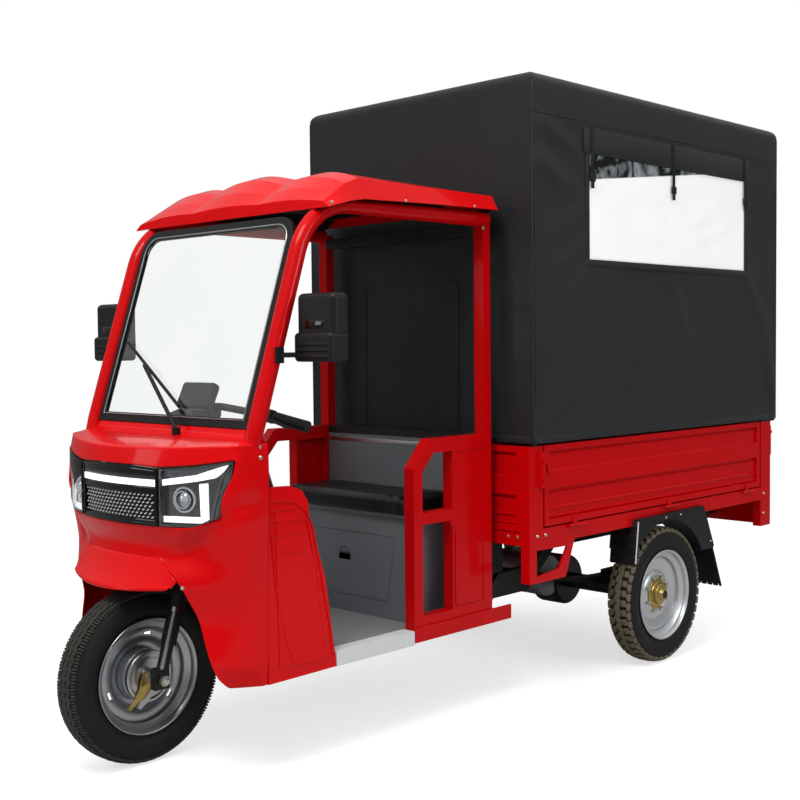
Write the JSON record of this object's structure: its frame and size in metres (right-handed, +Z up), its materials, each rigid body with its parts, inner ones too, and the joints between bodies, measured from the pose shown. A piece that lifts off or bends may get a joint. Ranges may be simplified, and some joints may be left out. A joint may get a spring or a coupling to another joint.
{
  "type": "electric cargo tricycle",
  "caption": "Electric cargo tricycle with an open-sided cab, a steered front wheel, a drop-side cargo bed and a tarpaulin canopy with clear side windows.",
  "frame": {"origin": "on the ground under the centre of the bounding box", "axes": "+X forward, +Y to the driver's left, +Z up"},
  "size_m": [3.04, 1.15, 2.05],
  "materials": {
    "red_paint": "gloss",
    "red_plastic": "gloss",
    "black_frame": "satin",
    "black_plastic": "matte",
    "grey_plastic": "matte",
    "sill_metal": "satin",
    "wheel_steel": "satin",
    "hub_metal": "satin",
    "tyre_rubber": "matte",
    "soft_rubber": "matte",
    "tarp": "matte",
    "clear_film": "gloss",
    "screen_glass": "gloss",
    "lamp_lens": "gloss",
    "tail_lens": "gloss",
    "seat_vinyl": "satin",
    "spring_steel": "satin",
    "motor_cast": "matte"
  },
  "bodies": {
    "root": {"battery_pack": "black_plastic", "bed_floor": "red_paint", "bed_frame": "red_paint", "brake_pedal": "black_frame", "cab_cross_tubes": "red_paint", "cab_pillars": "red_paint", "cab_roof": "red_plastic", "cab_sides": "red_paint", "canopy_ends": "tarp", "canopy_frame": "black_frame", "canopy_roof": "tarp", "canopy_sides": "tarp", "canopy_windows": "clear_film", "chassis_frame": "black_frame", "controller_box": "black_plastic", "door_sills": "sill_metal", "drive_motor": "motor_cast", "floor_pan": "grey_plastic", "front_board": "red_paint", "front_bulkhead": "grey_plastic", "front_cowl": "red_plastic", "front_mudguard": "red_plastic", "grille_panel": "black_plastic", "headlamps": "lamp_lens", "latches": "red_paint", "leaf_springs": "spring_steel", "leg_panels": "red_plastic", "mirrors": "black_plastic", "rear_axle": "black_frame", "rear_fenders": "black_plastic", "seat_back_panel": "grey_plastic", "seat_base": "grey_plastic", "seat_cushion": "seat_vinyl", "tail_lamps": "tail_lens", "windshield_gasket": "soft_rubber", "windshield_glass": "screen_glass", "wiper": "black_plastic"},
    "fork": {"fork": "black_frame", "handlebar": "black_frame", "grips": "soft_rubber", "instrument_pod": "black_plastic", "front_axle": "hub_metal"},
    "front_wheel": {"front_tyre": "tyre_rubber", "front_rim": "wheel_steel"},
    "rear_wheel_left": {"rear_tyre_left": "tyre_rubber", "rear_rim_left": "wheel_steel"},
    "rear_wheel_right": {"rear_tyre_right": "tyre_rubber", "rear_rim_right": "wheel_steel"},
    "board_left": {"side_board_left": "red_paint"},
    "board_right": {"side_board_right": "red_paint"},
    "tail_board": {"tailgate": "red_paint"}
  },
  "joints": [
    {"name": "steering", "type": "hinge", "parent": "root", "child": "fork", "pos_m": [1.245, 0, 0.25], "axis": [-0.2924, 0, 0.9563], "range_deg": [-30, 30]},
    {"name": "front_wheel_spin", "type": "hinge", "parent": "fork", "child": "front_wheel", "pos_m": [1.27, 0, 0.25], "axis": [0, 1, 0], "continuous": true},
    {"name": "rear_left_spin", "type": "hinge", "parent": "root", "child": "rear_wheel_left", "pos_m": [-0.65, 0.49, 0.25], "axis": [0, 1, 0], "continuous": true},
    {"name": "rear_right_spin", "type": "hinge", "parent": "root", "child": "rear_wheel_right", "pos_m": [-0.65, -0.49, 0.25], "axis": [0, 1, 0], "continuous": true},
    {"name": "board_left_drop", "type": "hinge", "parent": "root", "child": "board_left", "pos_m": [-0.668, 0.533, 0.573], "axis": [-1, 0, 0], "range_deg": [0, 160]},
    {"name": "board_right_drop", "type": "hinge", "parent": "root", "child": "board_right", "pos_m": [-0.668, -0.533, 0.573], "axis": [1, 0, 0], "range_deg": [0, 160]},
    {"name": "tailgate_drop", "type": "hinge", "parent": "root", "child": "tail_board", "pos_m": [-1.497, 0, 0.573], "axis": [0, -1, 0], "range_deg": [0, 175]}
  ]
}
